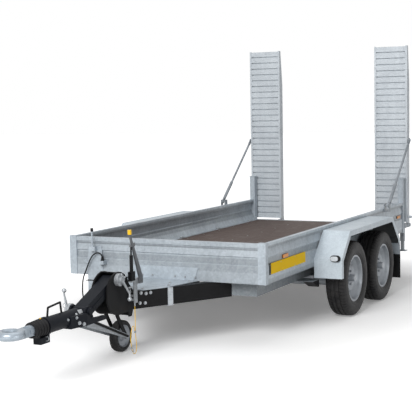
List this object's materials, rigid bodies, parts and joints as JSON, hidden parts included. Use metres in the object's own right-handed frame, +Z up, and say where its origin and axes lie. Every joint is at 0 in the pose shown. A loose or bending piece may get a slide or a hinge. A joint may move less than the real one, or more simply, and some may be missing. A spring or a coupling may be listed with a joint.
{
  "type": "plant trailer",
  "caption": "Twin-axle plant trailer: open galvanised bed with low walls, upright loading ramps held by stays, a jointed drawbar with tow eye, and a jockey wheel.",
  "frame": {"origin": "centre of the trailer's box at ground level, as it stands parked", "axes": "+Z up, +Y to the rear along the trailer, -Y to the tow eye, +X to the trailer's left"},
  "size_m": [2.22, 5.866, 2.42],
  "materials": {
    "amber_lens": "amber lens",
    "arm_paint": "satin anthracite",
    "black_paint": "satin black",
    "black_plastic": "black",
    "galvanised": "hot-dip galvanised, spangled",
    "plywood": "brown film-faced plywood",
    "red_lens": "red lens",
    "rim_paint": "silver paint",
    "rubber": "matt black",
    "tyre": "matt black",
    "white_lens": "white lens",
    "yellow_plastic": "yellow",
    "zinc_plated": "bright zinc plated"
  },
  "bodies": {
    "trailer": {"axles": "galvanised", "beam_straps": "galvanised", "brake_lever": "arm_paint", "brake_link": "zinc_plated", "brake_strut": "black_paint", "cable_plug": "black_plastic", "cable_stand": "galvanised", "chassis_rails": "galvanised", "cord_clip": "zinc_plated", "corner_posts": "galvanised", "cross_members": "galvanised", "deck_board": "plywood", "drawbar_beams": "black_paint", "drawbar_hub": "black_paint", "flap_brackets": "galvanised", "front_gusset": "galvanised", "front_lamps": "white_lens", "front_panel": "galvanised", "hub_clamp": "zinc_plated", "lashing_rings": "zinc_plated", "lever_grip": "yellow_plastic", "mudflaps": "rubber", "mudguard_left": "galvanised", "mudguard_right": "galvanised", "power_cable": "rubber", "rear_beam": "galvanised", "rear_lamps": "red_lens", "rear_posts": "galvanised", "rear_props": "galvanised", "safety_cord": "yellow_plastic", "side_left": "galvanised", "side_markers": "amber_lens", "side_right": "galvanised", "stand_knob": "black_plastic", "stay_brackets": "galvanised", "wheel_chock": "black_plastic"},
    "arm": {"drawbar_arm": "arm_paint"},
    "head": {"drawbar_head": "arm_paint", "head_clamp": "zinc_plated", "bellows": "rubber", "tow_eye": "zinc_plated", "lift_handle": "black_paint"},
    "jockey_leg": {"jockey_fork": "black_paint"},
    "jockey_wheel": {"jockey_tyre": "tyre", "jockey_rim": "rim_paint"},
    "jockey_tie": {"jockey_tie": "galvanised", "tie_strut": "black_paint"},
    "ramp_left": {"ramp_left": "galvanised"},
    "ramp_right": {"ramp_right": "galvanised"},
    "stay_left": {"stay_left": "galvanised"},
    "stay_right": {"stay_right": "galvanised"},
    "wheel_fl": {"tyre_fl": "tyre", "rim_fl": "rim_paint"},
    "wheel_fr": {"tyre_fr": "tyre", "rim_fr": "rim_paint"},
    "wheel_rl": {"tyre_rl": "tyre", "rim_rl": "rim_paint"},
    "wheel_rr": {"tyre_rr": "tyre", "rim_rr": "rim_paint"}
  },
  "joints": [
    {"name": "arm_tilt", "type": "hinge", "parent": "trailer", "child": "arm", "pos_m": [0, -1.661, 0.602], "axis": [-1, 0, 0], "range_deg": [0, 30]},
    {"name": "head_level", "type": "hinge", "parent": "arm", "child": "head", "pos_m": [0, -2.044, 0.44], "axis": [-1, 0, 0], "range_deg": [-30.1, 0.1]},
    {"name": "tie_swing", "type": "hinge", "parent": "head", "child": "jockey_tie", "pos_m": [-0.106, -1.879, 0.322], "axis": [-1, 0, 0], "range_deg": [-0.1, 16]},
    {"name": "jockey_fold", "type": "hinge", "parent": "trailer", "child": "jockey_leg", "pos_m": [-0.106, -1.485, 0.322], "axis": [-1, 0, 0], "range_deg": [0, 90]},
    {"name": "jockey_spin", "type": "hinge", "parent": "jockey_leg", "child": "jockey_wheel", "pos_m": [-0.106, -1.349, 0.12], "axis": [-1, 0, 0], "continuous": true},
    {"name": "ramp_left_lower", "type": "hinge", "parent": "trailer", "child": "ramp_left", "pos_m": [0.7165, 2.907, 0.545], "axis": [-1, 0, 0], "range_deg": [0, 107]},
    {"name": "stay_left_fold", "type": "hinge", "parent": "trailer", "child": "stay_left", "pos_m": [0.91, 2.126, 0.818], "axis": [1, 0, 0], "range_deg": [0, 136]},
    {"name": "ramp_right_lower", "type": "hinge", "parent": "trailer", "child": "ramp_right", "pos_m": [-0.7165, 2.907, 0.545], "axis": [-1, 0, 0], "range_deg": [0, 107]},
    {"name": "stay_right_fold", "type": "hinge", "parent": "trailer", "child": "stay_right", "pos_m": [-0.91, 2.126, 0.818], "axis": [1, 0, 0], "range_deg": [0, 136]},
    {"name": "wheel_fl_spin", "type": "hinge", "parent": "trailer", "child": "wheel_fl", "pos_m": [0.9925, 0.631, 0.325], "axis": [-1, 0, 0], "continuous": true},
    {"name": "wheel_fr_spin", "type": "hinge", "parent": "trailer", "child": "wheel_fr", "pos_m": [-0.9925, 0.631, 0.325], "axis": [-1, 0, 0], "continuous": true},
    {"name": "wheel_rl_spin", "type": "hinge", "parent": "trailer", "child": "wheel_rl", "pos_m": [0.9925, 1.431, 0.325], "axis": [-1, 0, 0], "continuous": true},
    {"name": "wheel_rr_spin", "type": "hinge", "parent": "trailer", "child": "wheel_rr", "pos_m": [-0.9925, 1.431, 0.325], "axis": [-1, 0, 0], "continuous": true}
  ],
  "couplings": [
    {"joint": "head_level", "follows": "arm_tilt", "ratio": -1},
    {"joint": "tie_swing", "follows": "arm_tilt", "ratio": 0.522}
  ]
}
